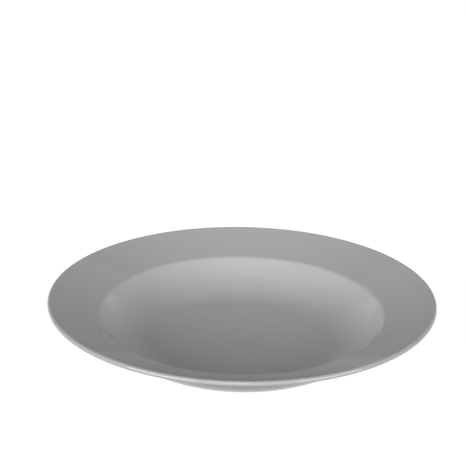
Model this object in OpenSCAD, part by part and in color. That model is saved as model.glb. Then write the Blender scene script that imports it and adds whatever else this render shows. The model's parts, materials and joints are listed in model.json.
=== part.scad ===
// Deep pasta plate with a wide rim, one piece of fired porcelain under a glaze.
//
// The plate is turned about the Z axis, and its foot stands on z = 0. Its section is
// one chain of arcs that run into each other without a corner: a gently dished floor,
// a cove that climbs to the well's edge, the rounded edge, a rim that dips a little
// below a straight line, and a full round lip. The underside follows at the wall's
// thickness, with a foot ring on it.
//
// The glaze is a skin of even thickness. So each arc is drawn at a depth below the
// glazed surface: depth 0 is the glaze, and depth glaze_t is the porcelain under it.

/* [Rim] */
// Outer diameter of the plate, over the lip
plate_d = 300; // [270:1:320]
// Width of the rim, from the lip to the corner where it meets the well's wall
rim_w = 39.6; // [34:0.2:46]
// Rise of the rim, from that corner to the top of the lip
rim_rise = 14; // [10:0.5:18]
// Dip of the rim's upper face below a straight line
rim_sag = 0.4; // [0.2:0.05:1]
// Thickness of the rim, which ends in a full round lip
rim_t = 3.6; // [3:0.1:4.4]

/* [Well] */
// Depth of the well, from the corner of wall and rim to the middle of the floor
well_depth = 33.1; // [28:0.1:38]
// Diameter of the floor, where it turns up into the wall
floor_d = 141; // [130:1:150]
// Dish of the floor, from its edge down to its middle
floor_dish = 6; // [4.5:0.1:7]
// Thickness of the floor and of the well's wall
wall_t = 4.6; // [4:0.1:5.4]
// Rounding of the well's edge
edge_r = 5.5; // [3:0.1:8]
// Rounding under the rim, between it and the outside of the wall
under_r = 9; // [6:0.5:14]

/* [Foot] */
// Distance from the edge of the floor in to the outside of the foot ring
foot_inset = 8; // [6:0.5:11]
// Width of the foot ring at its base
foot_w = 5.5; // [4.5:0.1:7]
// Slope of the foot ring's two flanks
foot_draft = 9; // [3:1:15]
// Gap between the table and the middle of the plate's underside
foot_lift = 1.2; // [0.6:0.1:2]
// Blend between the foot ring and the underside
foot_blend_r = 2.4; // [1.4:0.1:2.8]
// Rounding of the bare porcelain at the foot ring's base
foot_base_r = 0.7; // [0.4:0.1:0.9]

/* [Glaze] */
// Thickness of the glaze
glaze_t = 0.25; // [0.15:0.05:0.4]
// Height up to which the foot ring is wiped free of glaze
glaze_line = 1.2; // [1:0.1:1.5]

/* [Hidden] */

// Most that a chord may stray from its arc, and the widest angle of one step
chord_gap = 0.01;
widest_step = 7.5;
turn_facets = 240;

// Side of the foot ring that a flank is on
outer = 1;
inner = -1;

// Heights, counted up from the table
floor_z = foot_lift + wall_t;
corner_z = floor_z + well_depth;
plate_h = corner_z + rim_rise;

// Corner where the wall and the rim would meet if the edge were sharp
corner = [plate_d / 2 - rim_w, corner_z];

// Floor: an arc about a point on the axis
floor_half = floor_d / 2;
floor_r = (floor_half * floor_half + floor_dish * floor_dish) / (2 * floor_dish);
floor_c = [0, floor_z + floor_r];
floor_end = asin(floor_half / floor_r) - 90;

// Wall: the arc that leaves the floor without a corner and passes through the corner
floor_way = toward(floor_end);
corner_off = corner - floor_c - floor_r * floor_way;
wall_r = corner_off * corner_off / (2 * (floor_r - (corner - floor_c) * floor_way));
wall_c = floor_c + (floor_r - wall_r) * floor_way;

// Lip: a circle between the rim's two faces
lip_r = rim_t / 2;
lip_c = [plate_d / 2 - lip_r, plate_h - lip_r];

// Rim: an arc through the corner whose faces both run into the lip
rim_chord = norm(lip_c - corner);
rim_r = rim_chord * rim_chord / (8 * rim_sag);
rim_c = meet(corner, rim_r, lip_c, rim_r + lip_r);

// Roundings above and below the place where wall and rim meet
edge_c = meet(rim_c, rim_r + edge_r, wall_c, wall_r + edge_r);
under_c = meet(rim_c, rim_r + rim_t + under_r, wall_c, wall_r + wall_t + under_r);

// Radius of the foot ring's flanks at the table
foot_r_outer = floor_half - foot_inset;
foot_r_inner = foot_r_outer - foot_w;

// Unit vector that points the way of an angle
function toward(angle) = [cos(angle), sin(angle)];

// Angle at which point p is seen from point c
function sight(c, p) = atan2(p[1] - c[1], p[0] - c[0]);

// The point ra from a and rb from b that lies on the left of the line from a to b
function meet(a, ra, b, rb) =
    let (
        gap = norm(b - a),
        ahead = (b - a) / gap,
        along = (ra * ra - rb * rb + gap * gap) / (2 * gap),
        aside = sqrt(ra * ra - along * along)
    )
    a + along * ahead + aside * [-ahead[1], ahead[0]];

// Points of an arc about c, from angle a to angle b
function arc(c, r, a, b) =
    let (
        step = min(widest_step, 2 * acos(1 - chord_gap / r)),
        count = max(1, ceil(abs(b - a) / step))
    )
    [for (i = [0:count]) c + r * toward(a + (b - a) * i / count)];

// A flank of the foot ring: its upward way, and the way out of the ring's material
function flank_way(side) = [side * sin(foot_draft), cos(foot_draft)];
function flank_out(side) = [side * cos(foot_draft), -sin(foot_draft)];

// Point of a flank at a given height and depth
function flank(side, depth, z) =
    let (
        foot = [side == outer ? foot_r_outer : foot_r_inner, 0] - depth * flank_out(side)
    )
    foot + flank_way(side) * (z - foot[1]) / flank_way(side)[1];

// Centre of the blend between a flank and the plate's underside
function blend_c(side) =
    let (
        start = flank(side, -foot_blend_r, 0),
        off = start - floor_c,
        reach = floor_r + wall_t + foot_blend_r,
        b = off * flank_way(side)
    )
    start - flank_way(side) * (b + sqrt(b * b - off * off + reach * reach));

// Centre of the rounding at the base of a flank
function base_c(side) = flank(side, glaze_t + foot_base_r, foot_base_r);

// Underside inside the foot ring, from the axis out and down the inner flank
function recess(depth, low) =
    let (
        c = blend_c(inner),
        top = sight(floor_c, c)
    )
    concat(
        arc(floor_c, floor_r + wall_t - depth, -90, top),
        arc(c, foot_blend_r + depth, top + 180, foot_draft),
        [flank(inner, depth, low)]
    );

// Base of the foot ring, bare porcelain with a flat ring to stand on
function base() =
    concat(
        arc(base_c(inner), foot_base_r, 180 + foot_draft, 270),
        arc(base_c(outer), foot_base_r, -90, -foot_draft)
    );

// Outside of the plate, from low on the foot ring up to the lip, round it, and over
// the rim and the wall to the middle of the floor
function outside(depth, low) =
    let (
        c = blend_c(outer),
        top = sight(floor_c, c)
    )
    concat(
        [flank(outer, depth, low)],
        arc(c, foot_blend_r + depth, 180 - foot_draft, top + 180),
        arc(floor_c, floor_r + wall_t - depth, top, floor_end),
        arc(wall_c, wall_r + wall_t - depth, floor_end, sight(wall_c, under_c)),
        arc(under_c, under_r + depth, sight(under_c, wall_c), sight(under_c, rim_c)),
        arc(rim_c, rim_r + rim_t - depth, sight(rim_c, under_c), sight(rim_c, lip_c)),
        arc(lip_c, lip_r - depth, sight(rim_c, lip_c), sight(lip_c, rim_c)),
        arc(rim_c, rim_r + depth, sight(rim_c, lip_c), sight(rim_c, edge_c)),
        arc(edge_c, edge_r - depth, sight(edge_c, rim_c), sight(edge_c, wall_c)),
        arc(wall_c, wall_r + depth, sight(wall_c, edge_c), floor_end),
        arc(floor_c, floor_r + depth, floor_end, -90)
    );

// A list of points in the opposite order
function backwards(points) = [for (i = [len(points) - 1:-1:0]) points[i]];

// A list of points with each one dropped that repeats the one before it
function distinct(points) = [
    for (i = [0:len(points) - 1])
        if (i == 0 || norm(points[i] - points[max(i - 1, 0)]) > chord_gap / 10) points[i]
];

// A solid turned from its section
module turned(points) {
    rotate_extrude($fn = turn_facets)
        polygon(distinct(points));
}

// The fired clay, whose wiped foot the plate stands on
module porcelain_body() {
    color([0.86, 0.85, 0.82])
        turned(concat(
            recess(glaze_t, base_c(inner)[1]),
            base(),
            outside(glaze_t, base_c(outer)[1])
        ));
}

// The glaze that shows: the whole plate, down to the wiped foot
module glaze_coat() {
    color([0.63, 0.63, 0.64])
        turned(concat(
            outside(0, glaze_line),
            backwards(outside(glaze_t, glaze_line))
        ));
}

// The separate patch of glaze inside the foot ring
module foot_recess_glaze() {
    color([0.63, 0.63, 0.64])
        turned(concat(
            recess(0, glaze_line),
            backwards(recess(glaze_t, glaze_line))
        ));
}

porcelain_body();
glaze_coat();
foot_recess_glaze();
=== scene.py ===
"""Dresses the frame of a deep pasta plate in glazed porcelain and lights it in a plain studio.

The plate is turned about the Z axis. Its section is one chain of arcs that run into each
other without a corner: a dished floor, a cove, the rounded edge of the well, a rim that dips
a little, and a full round lip, with the underside and a foot ring below them. Each piece is
a closed surface of two parameters, the way along its section and the angle of its turn.
"""

import json
import math

import bpy
import numpy as np
from mathutils import Matrix, Vector


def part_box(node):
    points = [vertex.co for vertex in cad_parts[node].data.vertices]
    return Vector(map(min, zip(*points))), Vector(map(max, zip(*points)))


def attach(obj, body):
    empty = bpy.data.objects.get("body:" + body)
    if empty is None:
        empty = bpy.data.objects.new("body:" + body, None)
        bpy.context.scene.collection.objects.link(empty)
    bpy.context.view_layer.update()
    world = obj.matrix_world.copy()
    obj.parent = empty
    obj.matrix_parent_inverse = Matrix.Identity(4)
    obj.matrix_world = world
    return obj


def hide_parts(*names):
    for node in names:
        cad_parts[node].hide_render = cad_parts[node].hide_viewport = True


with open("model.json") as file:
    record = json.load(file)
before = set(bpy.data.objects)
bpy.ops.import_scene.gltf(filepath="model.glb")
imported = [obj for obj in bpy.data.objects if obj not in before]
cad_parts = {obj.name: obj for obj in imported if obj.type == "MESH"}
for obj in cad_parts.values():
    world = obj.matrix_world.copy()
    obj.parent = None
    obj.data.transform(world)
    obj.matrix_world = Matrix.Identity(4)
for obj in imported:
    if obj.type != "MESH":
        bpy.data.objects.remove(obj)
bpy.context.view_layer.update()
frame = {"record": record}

bl_info = {
    "name": "Glazed pasta plate",
    "version": (1, 0, 0),
    "blender": (4, 5, 0),
    "location": "3D View > Sidebar > Plate",
    "description": "Builds a deep rimmed plate in glazed porcelain, and a plain studio round it",
    "category": "Add Mesh",
}

MM = 0.001
BODY = "root"

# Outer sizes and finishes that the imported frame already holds
LOW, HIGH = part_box("glaze_coat")
FINISH = {m["slot"]: m["base_color"] for m in frame["record"]["materials"]}

# Widest bend and longest step of a section's arcs, where they show and where they are hidden
SHOWN = (math.radians(2.5), 2.4 * MM)
HIDDEN = (math.radians(12), 6 * MM)

# Steps of a full turn, which keep the glaze under 200,000 triangles
TURN_STEPS = 280

# Gap below which two points are one, and the angle from which an edge is a crease
SAME_PLACE = 0.001 * MM
CREASE = math.radians(50)

# The side of the foot ring that a flank is on
OUTER = 1
INNER = -1

# The photograph's width in pixels, and the width of the camera's sensor in millimetres
PHOTO_WIDTH = 466
SENSOR = 36.0


def size(name, description, default):
    """A length that a user can change."""
    return bpy.props.FloatProperty(
        name=name, description=description, default=default, min=0.0, unit="LENGTH", precision=5
    )


def angle(name, description, degrees):
    """An angle that a user can change."""
    return bpy.props.FloatProperty(
        name=name, description=description, default=math.radians(degrees), subtype="ANGLE"
    )


def amount(name, description, default):
    """A plain number that a user can change."""
    return bpy.props.FloatProperty(name=name, description=description, default=default, min=0.0)


def colour(name, description, default):
    """A linear colour that a user can change."""
    return bpy.props.FloatVectorProperty(
        name=name, description=description, default=default, size=3, min=0.0, max=1.0,
        subtype="COLOR",
    )


class PlateShape(bpy.types.PropertyGroup):
    """Sizes of the plate, which are those of the solid model."""

    diameter: size("Diameter", "Outer diameter, over the lip", HIGH[0] - LOW[0])
    height: size("Height", "From the table to the top of the lip", HIGH[2])
    rim_width: size("Rim width", "From the lip to the corner of rim and wall", 39.6 * MM)
    rim_rise: size("Rim rise", "From that corner up to the top of the lip", 14 * MM)
    rim_sag: size("Rim dip", "Dip of the rim's upper face below a straight line", 0.4 * MM)
    rim_thick: size("Rim thickness", "Thickness of the rim and its round lip", 3.6 * MM)
    floor_width: size("Floor diameter", "Where the floor turns up into the wall", 141 * MM)
    floor_dish: size("Floor dish", "From the floor's edge down to its middle", 6 * MM)
    wall_thick: size("Wall thickness", "Thickness of the floor and the wall", 4.6 * MM)
    edge_round: size("Edge rounding", "Rounding of the well's edge", 5.5 * MM)
    under_round: size("Under rounding", "Rounding under the rim", 9 * MM)
    foot_inset: size("Foot inset", "From the floor's edge in to the foot ring", 8 * MM)
    foot_wide: size("Foot width", "Width of the foot ring at its base", 5.5 * MM)
    foot_draft: angle("Foot draft", "Slope of the foot ring's flanks", 9)
    foot_lift: size("Foot lift", "Gap under the middle of the underside", 1.2 * MM)
    foot_blend: size("Foot blend", "Blend of the foot ring and the underside", 2.4 * MM)
    foot_round: size("Foot rounding", "Rounding of the foot ring's bare base", 0.7 * MM)
    glaze_thick: size("Glaze thickness", "Thickness of the glaze", 0.25 * MM)
    glaze_line: size("Glaze line", "Height up to which the foot is wiped bare", 1.2 * MM)


class GlazeFinish(bpy.types.PropertyGroup):
    """Colour and surface of the glaze."""

    grey: colour("Glaze", "Colour of the glaze at its usual thickness", FINISH["glaze"])
    thin_grey: colour("Thin glaze", "Colour of the glaze where it thins", (0.385, 0.373, 0.377))
    thinned: amount("Thinned", "Share of the thin glaze's colour at the lip's outer edge", 0.8)
    pooled: amount("Pooled glaze", "Share by which pooled glaze is darker", 0.06)
    mottle: amount("Mottling", "Share by which the colour wanders", 0.02)
    cloud: size("Cloud size", "Size of the clouds of the mottling", 24 * MM)
    gloss: amount("Roughness", "Roughness of the fired glaze", 0.03)
    gloss_drift: amount("Roughness drift", "Most that the roughness wanders", 0.015)
    wave: size("Wave length", "Length of the slow waves of a dipped glaze", 26 * MM)
    wave_height: size("Wave height", "Height of those waves", 0.008 * MM)
    gloss_cloud: size("Gloss cloud", "Size of the clouds of the roughness drift", 40.8 * MM)
    peel: size("Peel size", "Size of the finest unevenness", 2.2 * MM)
    peel_height: size("Peel height", "Height of the finest unevenness", 0.0006 * MM)
    ring_gap: size("Ring gap", "Distance between the faint rings left by turning", 3.1 * MM)
    ring_height: size("Ring height", "Height of those rings", 0.0008 * MM)
    ring_wander: amount("Ring wander", "Most that a ring wanders, in radians of its wave", 6.0)
    speck: size("Speck", "Radius of an iron speck in the glaze", 0.16 * MM)
    speck_dark: amount("Speck depth", "Share of the spots' colour in a speck", 0.4)
    pinhole: size("Pinhole", "Radius of the pinhole on the rim", 1.2 * MM)
    pinhole_dark: amount("Pinhole darkness", "Share of the spots' colour in the pinhole", 0.6)
    pinhole_deep: size("Pinhole depth", "Depth of the pinhole", 0.12 * MM)
    spot: colour("Spots", "Colour of the specks and the pinhole", (0.06, 0.05, 0.045))


class ClayFinish(bpy.types.PropertyGroup):
    """Colour and surface of the bare porcelain."""

    clay: colour("Clay", "Colour of the bare fired porcelain", FINISH["bisque"])
    stain: colour("Stain", "Colour of the dust and wear on the bearing ring", (0.52, 0.50, 0.47))
    grain: size("Grain", "Size of the grain", 0.35 * MM)
    grain_height: size("Grain height", "Height of the grain", 0.01 * MM)
    grain_shade: amount("Grain shade", "Share by which the grain changes the colour", 0.08)
    patch: size("Patch size", "Size of the stained patches", 4.2 * MM)
    stained: amount("Stained", "Share of the stain's colour where it is strongest", 0.7)
    matt: amount("Roughness", "Roughness of the bare porcelain", 0.72)
    polish: amount("Polish", "What wear takes off the roughness", 0.1)


class StudioLook(bpy.types.PropertyGroup):
    """Camera, lamps and background."""

    focal: amount("Focal length", "Focal length in the photograph's pixels", 1200.0)
    camera_back: size("Camera distance", "From the plate's axis back to the camera", 858.7 * MM)
    camera_up: size("Camera height", "From the table up to the camera", 422.5 * MM)
    aim_side: bpy.props.FloatProperty(
        name="Aim sideways", description="Where the camera aims, along X",
        default=-10.1 * MM, unit="LENGTH", precision=5,
    )
    aim_back: size("Aim behind", "Where the camera aims, behind the plate's axis", 274.6 * MM)
    camera_roll: angle("Camera roll", "Turn of the camera about its line of sight", 0.78)
    paper: colour("Paper", "Colour of the floor as it lights the plate", (0.1, 0.1, 0.1))
    shaded: colour("Shaded paper", "Colour that takes the plate's shadow", (0.2, 0.2, 0.2))
    glow: amount("Paper glow", "Light that makes the paper white where it is seen", 0.92)


class Section:
    """Centres and radii of the plate's section, worked out from its sizes.

    A place is a pair, (distance from the axis, height). A depth is counted in from the
    glazed surface, so depth 0 is the glaze, and the porcelain starts at the depth of the
    glaze's thickness. Each method gives a run of points.
    """

    def __init__(self, shape, steps=SHOWN):
        self.shape = shape
        self.widest_bend, self.longest_step = steps
        half = shape.floor_width / 2
        floor_top = shape.foot_lift + shape.wall_thick
        self.corner = np.array(
            (shape.diameter / 2 - shape.rim_width, shape.height - shape.rim_rise)
        )

        # Floor: an arc about a point on the axis
        self.floor_r = (half**2 + shape.floor_dish**2) / (2 * shape.floor_dish)
        self.floor_c = np.array((0.0, floor_top + self.floor_r))
        self.floor_end = math.asin(half / self.floor_r) - math.pi / 2

        # Wall: the arc that leaves the floor without a corner and passes through the corner
        way = toward(self.floor_end)
        reach = self.corner - self.floor_c
        off = reach - self.floor_r * way
        self.wall_r = off @ off / (2 * (self.floor_r - reach @ way))
        self.wall_c = self.floor_c + (self.floor_r - self.wall_r) * way

        # Lip: a circle between the rim's two faces
        self.lip_r = shape.rim_thick / 2
        self.lip_c = np.array((shape.diameter / 2 - self.lip_r, shape.height - self.lip_r))

        # Rim: an arc through the corner whose faces both run into the lip
        chord = np.linalg.norm(self.lip_c - self.corner)
        self.rim_r = chord**2 / (8 * shape.rim_sag)
        self.rim_c = meet(self.corner, self.rim_r, self.lip_c, self.rim_r + self.lip_r)

        # Roundings above and below the place where wall and rim meet
        above, below = shape.edge_round, shape.under_round
        self.edge_c = meet(self.rim_c, self.rim_r + above, self.wall_c, self.wall_r + above)
        self.under_c = meet(
            self.rim_c, self.rim_r + shape.rim_thick + below,
            self.wall_c, self.wall_r + shape.wall_thick + below,
        )

        self.foot_radius = {
            OUTER: half - shape.foot_inset,
            INNER: half - shape.foot_inset - shape.foot_wide,
        }

    def arc(self, centre, radius, start, end):
        """Points centre + radius * (cos a, sin a), with the angle a in even steps."""
        bend = abs(end - start)
        steps = max(bend / self.widest_bend, bend * radius / self.longest_step)
        a = np.linspace(start, end, math.ceil(steps) + 1)
        return centre + radius * np.column_stack((np.cos(a), np.sin(a)))

    def flank_way(self, side):
        """The way up a flank of the foot ring."""
        return np.array((side * math.sin(self.shape.foot_draft), math.cos(self.shape.foot_draft)))

    def flank_out(self, side):
        """The way out of the foot ring, square to a flank."""
        return np.array((side * math.cos(self.shape.foot_draft), -math.sin(self.shape.foot_draft)))

    def flank(self, side, depth, height):
        """The point of a flank at a depth and a height."""
        foot = np.array((self.foot_radius[side], 0.0)) - depth * self.flank_out(side)
        way = self.flank_way(side)
        return foot + way * (height - foot[1]) / way[1]

    def blend_centre(self, side):
        """Centre of the blend that rolls between a flank and the underside."""
        shape = self.shape
        start = self.flank(side, -shape.foot_blend, 0.0)
        off = start - self.floor_c
        way = self.flank_way(side)
        along = off @ way
        reach = self.floor_r + shape.wall_thick + shape.foot_blend
        return start - way * (along + math.sqrt(along**2 - off @ off + reach**2))

    def base_centre(self, side):
        """Centre of the rounding at the foot of a flank."""
        shape = self.shape
        return self.flank(side, shape.glaze_thick + shape.foot_round, shape.foot_round)

    def recess(self, depth, low):
        """The underside within the foot ring, from the axis out and down the inner flank."""
        shape = self.shape
        centre = self.blend_centre(INNER)
        top = sight(self.floor_c, centre)
        return run(
            self.arc(self.floor_c, self.floor_r + shape.wall_thick - depth, -math.pi / 2, top),
            self.arc(centre, shape.foot_blend + depth, top + math.pi, shape.foot_draft),
            [self.flank(INNER, depth, low)],
        )

    def base(self):
        """The bare base of the foot ring, round at both sides and flat between them."""
        draft, radius = self.shape.foot_draft, self.shape.foot_round
        return run(
            self.arc(self.base_centre(INNER), radius, math.pi + draft, 3 * math.pi / 2),
            self.arc(self.base_centre(OUTER), radius, -math.pi / 2, -draft),
        )

    def outside(self, depth, low):
        """From low on the outer flank out to the lip, round it, and in to the axis."""
        shape = self.shape
        wall, rim = self.wall_r + shape.wall_thick, self.rim_r + shape.rim_thick
        centre = self.blend_centre(OUTER)
        top = sight(self.floor_c, centre)
        return run(
            [self.flank(OUTER, depth, low)],
            self.arc(centre, shape.foot_blend + depth, math.pi - shape.foot_draft, top + math.pi),
            self.arc(self.floor_c, self.floor_r + shape.wall_thick - depth, top, self.floor_end),
            self.arc(self.wall_c, wall - depth, self.floor_end, sight(self.wall_c, self.under_c)),
            self.arc(self.under_c, shape.under_round + depth,
                sight(self.under_c, self.wall_c), sight(self.under_c, self.rim_c)),
            self.arc(self.rim_c, rim - depth,
                sight(self.rim_c, self.under_c), sight(self.rim_c, self.lip_c)),
            self.arc(self.lip_c, self.lip_r - depth,
                sight(self.rim_c, self.lip_c), sight(self.lip_c, self.rim_c)),
            self.arc(self.rim_c, self.rim_r + depth,
                sight(self.rim_c, self.lip_c), sight(self.rim_c, self.edge_c)),
            self.arc(self.edge_c, shape.edge_round - depth,
                sight(self.edge_c, self.rim_c), sight(self.edge_c, self.wall_c)),
            self.arc(self.wall_c, self.wall_r + depth,
                sight(self.wall_c, self.edge_c), self.floor_end),
            self.arc(self.floor_c, self.floor_r + depth, self.floor_end, -math.pi / 2),
        )

    def bead(self, side):
        """The rounded end of the glaze at the wiped line, from its face in to the clay."""
        thick = self.shape.glaze_thick
        centre = self.flank(side, thick, self.shape.glaze_line + thick)
        out = sight((0.0, 0.0), self.flank_out(side))
        return self.arc(centre, thick, out, out - side * math.pi / 2)


def toward(turn):
    """Unit vector (cos a, sin a), which points the way of an angle."""
    return np.array((math.cos(turn), math.sin(turn)))


def sight(centre, point):
    """The angle at which a point is seen from a centre."""
    return math.atan2(point[1] - centre[1], point[0] - centre[0])


def meet(a, ra, b, rb):
    """The point ra from a and rb from b, on the left of the line from a to b."""
    gap = np.linalg.norm(b - a)
    ahead = (b - a) / gap
    along = (ra**2 - rb**2 + gap**2) / (2 * gap)
    return a + along * ahead + math.sqrt(ra**2 - along**2) * np.array((-ahead[1], ahead[0]))


def run(*parts):
    """Joins runs of points, and drops each point that repeats the one before it."""
    points = np.vstack(parts)
    apart = np.linalg.norm(np.diff(points, axis=0), axis=1) > SAME_PLACE
    return points[np.concatenate(([True], apart))]


def turned(section):
    """Points and faces of a section turned about Z: (r, z) goes to (r cos t, r sin t, z).

    The section runs from the axis to the axis with the solid on its left, so its ends are
    the two poles and each face points outwards.
    """
    t = np.linspace(0.0, 2 * math.pi, TURN_STEPS, endpoint=False)
    rings = section[1:-1]
    grid = np.empty((len(rings), TURN_STEPS, 3))
    grid[..., 0] = np.outer(rings[:, 0], np.cos(t))
    grid[..., 1] = np.outer(rings[:, 0], np.sin(t))
    grid[..., 2] = rings[:, 1, None]
    poles = np.array(((0.0, 0.0, section[0, 1]), (0.0, 0.0, section[-1, 1])))
    points = np.vstack((grid.reshape(-1, 3), poles))

    number = np.arange(grid[..., 0].size).reshape(grid.shape[:2])
    beside = np.roll(number, -1, axis=1)
    strips = np.stack((number[:-1], beside[:-1], beside[1:], number[1:]), axis=-1)
    first = np.full(TURN_STEPS, len(points) - 2)
    last = np.full(TURN_STEPS, len(points) - 1)
    fans = np.vstack((
        np.column_stack((first, beside[0], number[0])),
        np.column_stack((last, number[-1], beside[-1])),
    ))
    return points, strips.reshape(-1, 4).tolist() + fans.tolist()


def add_object(name, points, faces, material):
    """Adds a mesh object at the origin, smooth but for its creases."""
    mesh = bpy.data.meshes.new(name)
    mesh.from_pydata(points, [], faces)
    mesh.shade_smooth()
    mesh.set_sharp_from_angle(angle=CREASE)
    mesh.materials.append(material)
    made = bpy.data.objects.new(name, mesh)
    bpy.context.scene.collection.objects.link(made)
    return made


def add_piece(node, section, material):
    """Adds a turned piece, which stands for the frame's node of that name."""
    piece = add_object("dressed_" + node, *turned(section), material)
    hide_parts(node)
    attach(piece, BODY)


class Value:
    """A number in a shader. An expression on values adds its Math nodes."""

    def __init__(self, shader, socket):
        self.shader = shader
        self.socket = socket

    def __add__(self, other):
        return self.shader.math("ADD", self, other)

    def __sub__(self, other):
        return self.shader.math("SUBTRACT", self, other)

    def __rsub__(self, other):
        return self.shader.math("SUBTRACT", other, self)

    def __mul__(self, other):
        return self.shader.math("MULTIPLY", self, other)

    def __truediv__(self, other):
        return self.shader.math("DIVIDE", self, other)

    def __rtruediv__(self, other):
        return self.shader.math("DIVIDE", other, self)

    def __pow__(self, other):
        return self.shader.math("POWER", self, other)

    def __gt__(self, other):
        return self.shader.math("GREATER_THAN", self, other)

    __radd__ = __add__
    __rmul__ = __mul__

    def ramp(self, start, end):
        """0 at start and beyond it, 1 at end and beyond it, and smooth between them."""
        share = self.shader.math("DIVIDE", self - start, end - start, clamp=True)
        return share * share * (3 - 2 * share)


class Shader:
    """The nodes of one material or world."""

    def __init__(self, owner):
        owner.use_nodes = True
        self.owner = owner
        self.tree = owner.node_tree
        self.tree.nodes.clear()

    def node(self, kind, settings=None, inputs=None):
        """Adds a node, sets its settings, then its sockets to values or links."""
        made = self.tree.nodes.new("ShaderNode" + kind)
        for name, value in (settings or {}).items():
            setattr(made, name, value)
        for name, value in (inputs or {}).items():
            if isinstance(value, Value):
                value = value.socket
            if isinstance(value, bpy.types.NodeSocket):
                self.tree.links.new(value, made.inputs[name])
            else:
                made.inputs[name].default_value = value
        return made

    def math(self, operation, *terms, clamp=False):
        """The result of one Math node."""
        settings = {"operation": operation, "use_clamp": clamp}
        return Value(self, self.node("Math", settings, dict(enumerate(terms))).outputs[0])

    def parts(self, vector):
        """The three numbers of a vector."""
        return (Value(self, s) for s in self.node("SeparateXYZ", inputs={0: vector}).outputs)

    def place(self):
        """Object coordinates: the point, its three numbers, and its distance from the axis."""
        point = self.node("TexCoord").outputs["Object"]
        x, y, z = self.parts(point)
        return point, x, y, z, (x * x + y * y) ** 0.5

    def noise(self, point, length, detail=2.0):
        """Noise from 0 to 1 whose clouds have a length."""
        inputs = {"Vector": point, "Scale": 1 / length, "Detail": detail}
        return Value(self, self.node("TexNoise", inputs=inputs).outputs["Fac"])

    def mix(self, share, a, b):
        """Colour a where share is 0 and colour b where it is 1."""
        sockets = {0: share, 6: opaque(a), 7: opaque(b)}
        return self.node("Mix", {"data_type": "RGBA"}, sockets).outputs[2]

    def shade(self, colour, share):
        """A colour times a value."""
        grey = self.node("CombineXYZ", inputs={0: share, 1: share, 2: share}).outputs[0]
        settings = {"data_type": "RGBA", "blend_type": "MULTIPLY"}
        return self.node("Mix", settings, {0: 1.0, 6: opaque(colour), 7: grey}).outputs[2]

    def bump(self, height):
        """Normal of a surface raised by a height in metres."""
        inputs = {"Strength": 1.0, "Distance": 1.0, "Height": height}
        return self.node("Bump", inputs=inputs).outputs["Normal"]


def opaque(colour):
    """A colour of three numbers with an alpha of 1, or a socket as it is."""
    return colour if isinstance(colour, bpy.types.NodeSocket) else (*colour, 1.0)


# Where the pinhole lies on the rim
PINHOLE_PLACE = (-106.1 * MM, -44.5 * MM)

# Width of the cells that may hold a speck, and the share of them that hold none
SPECK_CELL = 30 * MM
SPECK_RARE = 0.62

# Shares of a spot's radius within which it is darkest
SPECK_CORE, PINHOLE_CORE = 0.4, 0.5

# Levels of the patches' noise between which a stain sets in
STAIN_START, STAIN_FULL = 0.4, 0.7


def glaze_material(finish, section):
    """Glossy grey glaze: thin over the lip, pooled round the foot, with slow waves, clouds,
    faint turning rings, a few iron specks and one pinhole."""
    shader = Shader(bpy.data.materials.new("grey_glaze"))
    point, x, y, z, radius = shader.place()

    # Thin towards the lip's outer edge, and pooled in the blend outside the foot
    over_lip = radius.ramp(section.lip_c[0] - section.lip_r, section.lip_c[0] + section.lip_r)
    blend_r, blend_z = section.blend_centre(OUTER)
    to_blend = ((radius - blend_r) ** 2 + (z - blend_z) ** 2) ** 0.5
    reach = section.shape.foot_blend
    pool = to_blend.ramp(2 * reach, reach)

    # Clouds in the colour
    clouds = shader.noise(point, finish.cloud, detail=3.0)
    share = 1 + finish.mottle * (clouds - 0.5) - finish.pooled * pool
    colour = shader.mix(over_lip * finish.thinned, finish.grey, finish.thin_grey)
    colour = shader.shade(colour, share)

    # Iron specks, one in some of the cells, and the pinhole on the upper face
    settings = {"voronoi_dimensions": "2D", "feature": "F1"}
    cells = shader.node("TexVoronoi", settings, {"Vector": point, "Scale": 1 / SPECK_CELL})
    parted = shader.node("SeparateColor", inputs={0: cells.outputs["Color"]})
    chance = Value(shader, parted.outputs[0])
    near = Value(shader, cells.outputs["Distance"]) * SPECK_CELL
    specks = near.ramp(finish.speck, SPECK_CORE * finish.speck) * (chance > SPECK_RARE)
    to_pinhole = ((x - PINHOLE_PLACE[0]) ** 2 + (y - PINHOLE_PLACE[1]) ** 2) ** 0.5
    pinhole = to_pinhole.ramp(finish.pinhole, PINHOLE_CORE * finish.pinhole)
    pinhole = pinhole * (z > section.corner[1] / 2)
    dark = shader.math("MAXIMUM", specks * finish.speck_dark, pinhole * finish.pinhole_dark)
    colour = shader.mix(dark, colour, finish.spot)

    # Relief: slow waves, orange peel and turning rings
    waves = shader.noise(point, finish.wave, detail=1.0) * (2 * finish.wave_height)
    peel = shader.noise(point, finish.peel, detail=1.0) * (2 * finish.peel_height)
    turns = radius * (2 * math.pi / finish.ring_gap) + finish.ring_wander * clouds
    rings = shader.math("SINE", turns)
    relief = waves + peel + rings * finish.ring_height - pinhole * finish.pinhole_deep

    drift = shader.noise(point, finish.gloss_cloud)
    principled = shader.node("BsdfPrincipled", inputs={
        "Base Color": colour,
        "Roughness": finish.gloss + finish.gloss_drift * drift,
        "Normal": shader.bump(relief),
    })
    shader.node("OutputMaterial", inputs={"Surface": principled.outputs[0]})
    return shader.owner


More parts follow.
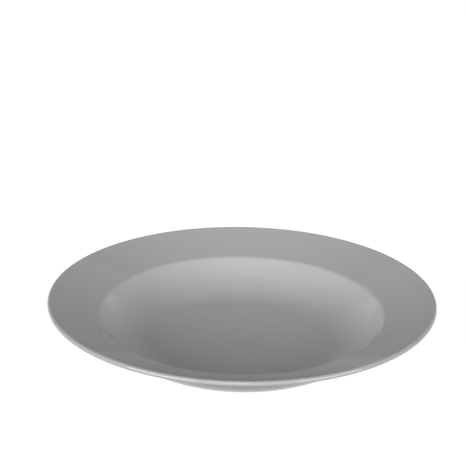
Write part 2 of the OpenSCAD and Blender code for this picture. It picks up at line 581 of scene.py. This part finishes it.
def clay_material(finish, section):
    """Bare fired porcelain: a fine grain, with dust and wear on the ring it stands on."""
    shader = Shader(bpy.data.materials.new("bare_porcelain"))
    point, _, _, z, _ = shader.place()
    grain = shader.noise(point, finish.grain, detail=4.0)
    patches = shader.noise(point, finish.patch, detail=3.0)
    worn = z.ramp(section.shape.foot_round / 2, 0.0) * patches.ramp(STAIN_START, STAIN_FULL)
    colour = shader.mix(worn * finish.stained, finish.clay, finish.stain)
    colour = shader.shade(colour, 1 + finish.grain_shade * (grain - 0.5))
    principled = shader.node("BsdfPrincipled", inputs={
        "Base Color": colour,
        "Roughness": finish.matt - finish.polish * worn,
        "Normal": shader.bump(grain * finish.grain_height),
    })
    shader.node("OutputMaterial", inputs={"Surface": principled.outputs[0]})
    return shader.owner


def glaze():
    """The glaze material, made once."""
    scene = bpy.context.scene
    found = bpy.data.materials.get("grey_glaze")
    return found or glaze_material(scene.glaze_finish, Section(scene.plate_shape))


class PLATE_OT_porcelain_body(bpy.types.Operator):
    """Add the fired porcelain body, which shows on the wiped foot"""

    bl_idname = "plate.porcelain_body"
    bl_label = "Porcelain Body"

    def execute(self, context):
        shape = context.scene.plate_shape
        section = Section(shape, HIDDEN)
        thick = shape.glaze_thick
        outline = run(
            section.recess(thick, section.base_centre(INNER)[1]),
            section.base(),
            section.outside(thick, section.base_centre(OUTER)[1]),
        )
        clay = clay_material(context.scene.clay_finish, section)
        add_piece("porcelain_body", outline, clay)
        return {"FINISHED"}


class PLATE_OT_glaze_coat(bpy.types.Operator):
    """Add the glaze that covers the plate down to the wiped foot"""

    bl_idname = "plate.glaze_coat"
    bl_label = "Glaze Coat"

    def execute(self, context):
        shape = context.scene.plate_shape
        section, back = Section(shape), Section(shape, HIDDEN)
        thick = shape.glaze_thick
        line = shape.glaze_line + thick
        outline = run(
            back.outside(thick, line)[::-1],
            section.bead(OUTER)[::-1],
            section.outside(0.0, line),
        )
        add_piece("glaze_coat", outline, glaze())
        return {"FINISHED"}


class PLATE_OT_recess_glaze(bpy.types.Operator):
    """Add the patch of glaze inside the foot ring"""

    bl_idname = "plate.recess_glaze"
    bl_label = "Recess Glaze"

    def execute(self, context):
        shape = context.scene.plate_shape
        section, back = Section(shape), Section(shape, HIDDEN)
        thick = shape.glaze_thick
        line = shape.glaze_line + thick
        outline = run(
            section.recess(0.0, line),
            section.bead(INNER),
            back.recess(thick, line)[::-1],
        )
        add_piece("foot_recess_glaze", outline, glaze())
        return {"FINISHED"}


# Softboxes: name, then azimuth and elevation of the middle, and width and height as seen
# from the plate, all in degrees, then radiance and colour
SOFTBOXES = (
    ("left_softbox", 225.6, 17.8, 36.0, 22.4, 12.0, (0.975, 1.0, 1.013)),
    ("right_softbox", 319.6, 16.7, 36.0, 23.8, 8.8, (0.99, 1.0, 1.01)),
    ("front_fill", 262.8, 35.5, 21.5, 20.0, 6.4, (1.06, 1.0, 0.98)),
    ("overhead_panel", 240.1, 52.7, 115.5, 37.1, 0.24, (1.06, 1.0, 0.98)),
)

# Distance of the softboxes from the plate, and half the width of the paper on the floor
SOFTBOX_AWAY = 6.0
PAPER_HALF = 9.0

# The grey backdrop, as slopes seen from the plate: half its width and its height, each over
# its distance. Then its radiance at the foot, and what it loses up to a height equal to its
# distance. Then the light that spills on it from the sides, which grows as the square of
# that slope up to a limit, and ends at a height. Last, the softness of the backdrop's edges
BACKDROP_WIDE, BACKDROP_TALL = 1.089, 0.9055
BACKDROP_LEVEL, BACKDROP_FADE = 0.348, 0.088
SPILL_LEVEL, SPILL_TALL, SPILL_MOST = 0.98, 0.81, 4.0
EDGE_SOFT = 0.002
BACKDROP_TINT = (1.05, 1.0, 1.025)

# The walls at both sides: their radiance and colour, the elevations between which they
# darken, and how far round to the front they reach, as the share of +Y in a level direction
WALL_LEVEL = 0.437
WALL_TINT = (1.055, 1.0, 0.945)
WALL_FADES, WALL_ENDS = math.radians(23.9), math.radians(42.6)
WALL_FRONT_END, WALL_FRONT_START = -0.6, -0.1


def heading(azimuth, elevation):
    """Unit vector to an azimuth, counted from +X towards +Y, and an elevation."""
    flat = math.cos(elevation)
    return Vector((flat * math.cos(azimuth), flat * math.sin(azimuth), math.sin(elevation)))


def softbox(name, azimuth, elevation, wide, tall, level, tint):
    """Adds a rectangular lamp that faces the plate, with its width and height as angles.

    A lamp of area A and radiance L gives out pi * A * L watts.
    """
    lamp = bpy.data.lights.new(name, "AREA")
    lamp.shape = "RECTANGLE"
    lamp.size = 2 * SOFTBOX_AWAY * math.tan(math.radians(wide) / 2)
    lamp.size_y = 2 * SOFTBOX_AWAY * math.tan(math.radians(tall) / 2)
    lamp.energy = math.pi * lamp.size * lamp.size_y * level
    lamp.color = tint
    out = heading(math.radians(azimuth), math.radians(elevation))
    turn = out.to_track_quat("Z", "Y").to_matrix().to_4x4()
    made = bpy.data.objects.new(name, lamp)
    made.matrix_world = Matrix.Translation(out * SOFTBOX_AWAY) @ turn
    made.visible_camera = False
    bpy.context.scene.collection.objects.link(made)


class PLATE_OT_studio(bpy.types.Operator):
    """Add the camera, the lamps, the paper floor and the room"""

    bl_idname = "plate.studio"
    bl_label = "Studio"

    def execute(self, context):
        look = context.scene.studio_look
        add_camera(look)
        for box in SOFTBOXES:
            softbox(*box)

        half = PAPER_HALF
        floor = add_object(
            "studio_floor",
            [(-half, -half, 0), (half, -half, 0), (half, half, 0), (-half, half, 0)],
            [(0, 1, 2, 3)],
            floor_material(look),
        )
        studio_world()
        return {"FINISHED"}


def add_camera(look):
    """Adds the camera where the photograph was taken, and turns it about its line of sight."""
    lens = bpy.data.cameras.new("camera")
    lens.sensor_width = SENSOR
    lens.lens = look.focal * SENSOR / PHOTO_WIDTH
    made = bpy.data.objects.new("camera", lens)
    stand = Vector((0.0, -look.camera_back, look.camera_up))
    sight_line = Vector((look.aim_side, look.aim_back, 0.0)) - stand
    level = sight_line.to_track_quat("-Z", "Y").to_matrix().to_4x4()
    roll = Matrix.Rotation(look.camera_roll, 4, "Z")
    made.matrix_world = Matrix.Translation(stand) @ level @ roll
    bpy.context.scene.collection.objects.link(made)
    bpy.context.scene.camera = made


def floor_material(look):
    """White paper, which the camera and reflections see white but for the plate's shadow.

    Light that bounces off it onto the plate comes from a darker paper.
    """
    shader = Shader(bpy.data.materials.new("floor_paper"))
    rays = shader.node("LightPath").outputs
    seen = Value(shader, rays["Is Camera Ray"]) + Value(shader, rays["Is Glossy Ray"])
    seen = seen + Value(shader, rays["Is Transmission Ray"])
    lit = shader.node("BsdfDiffuse", inputs={"Color": opaque(look.paper)})
    shaded = shader.node("BsdfDiffuse", inputs={"Color": opaque(look.shaded)})
    glow = shader.node("Emission", inputs={"Strength": look.glow})
    both = shader.node("AddShader", inputs={0: shaded.outputs[0], 1: glow.outputs[0]})
    mixed = shader.node("MixShader", inputs={0: seen, 1: lit.outputs[0], 2: both.outputs[0]})
    shader.node("OutputMaterial", inputs={"Surface": mixed.outputs[0]})
    return shader.owner


def studio_world():
    """A dim room: a grey backdrop with straight edges, and a pale wall at each side.

    A direction (x, y, z) meets the backdrop at the slopes x / y across and z / y up.
    """
    world = bpy.data.worlds.new("studio")
    bpy.context.scene.world = world
    shader = Shader(world)
    x, y, z = shader.parts(shader.node("TexCoord").outputs["Generated"])

    across, high = x / y, z / y
    spill = SPILL_LEVEL * shader.math("MINIMUM", across * across, SPILL_MOST)
    spill = spill * shader.math("MAXIMUM", 1 - high / SPILL_TALL, 0.0)
    backdrop = BACKDROP_LEVEL - BACKDROP_FADE * high + spill
    wide, tall = BACKDROP_WIDE, BACKDROP_TALL
    sides = shader.math("ABSOLUTE", across).ramp(wide + EDGE_SOFT, wide - EDGE_SOFT)
    top = high.ramp(tall + EDGE_SOFT, tall - EDGE_SOFT)
    on_backdrop = sides * top * (y > 0)

    level_way = y / (1 - z * z) ** 0.5
    walls = WALL_LEVEL * level_way.ramp(WALL_FRONT_END, WALL_FRONT_START)
    walls = walls * shader.math("ARCSINE", z).ramp(WALL_ENDS, WALL_FADES)

    strength = on_backdrop * backdrop + (1 - on_backdrop) * walls
    tint = shader.mix(on_backdrop, WALL_TINT, BACKDROP_TINT)
    made = shader.node("Background", inputs={"Color": tint, "Strength": strength})
    shader.node("OutputWorld", inputs={"Surface": made.outputs[0]})


class PLATE_PT_panel(bpy.types.Panel):
    """Lists the pieces of the plate and the studio"""

    bl_idname = "PLATE_PT_panel"
    bl_label = "Pasta Plate"
    bl_space_type = "VIEW_3D"
    bl_region_type = "UI"
    bl_category = "Plate"

    def draw(self, context):
        for step in STEPS:
            self.layout.operator(step.bl_idname)


STEPS = (PLATE_OT_studio, PLATE_OT_porcelain_body, PLATE_OT_glaze_coat, PLATE_OT_recess_glaze)
GROUPS = {
    "plate_shape": PlateShape,
    "glaze_finish": GlazeFinish,
    "clay_finish": ClayFinish,
    "studio_look": StudioLook,
}


def register():
    """Registers the groups of sizes, the operators and the panel."""
    for name, group in GROUPS.items():
        bpy.utils.register_class(group)
        setattr(bpy.types.Scene, name, bpy.props.PointerProperty(type=group))
    for kind in (*STEPS, PLATE_PT_panel):
        bpy.utils.register_class(kind)


def unregister():
    """Takes back what register did."""
    for kind in (PLATE_PT_panel, *reversed(STEPS)):
        bpy.utils.unregister_class(kind)
    for name, group in GROUPS.items():
        delattr(bpy.types.Scene, name)
        bpy.utils.unregister_class(group)


def main():
    """Builds everything in order."""
    register()
    bpy.context.scene.view_settings.view_transform = "Standard"
    bpy.ops.plate.studio()
    bpy.ops.plate.porcelain_body()
    bpy.ops.plate.glaze_coat()
    bpy.ops.plate.recess_glaze()


if __name__ == "__main__":
    main()
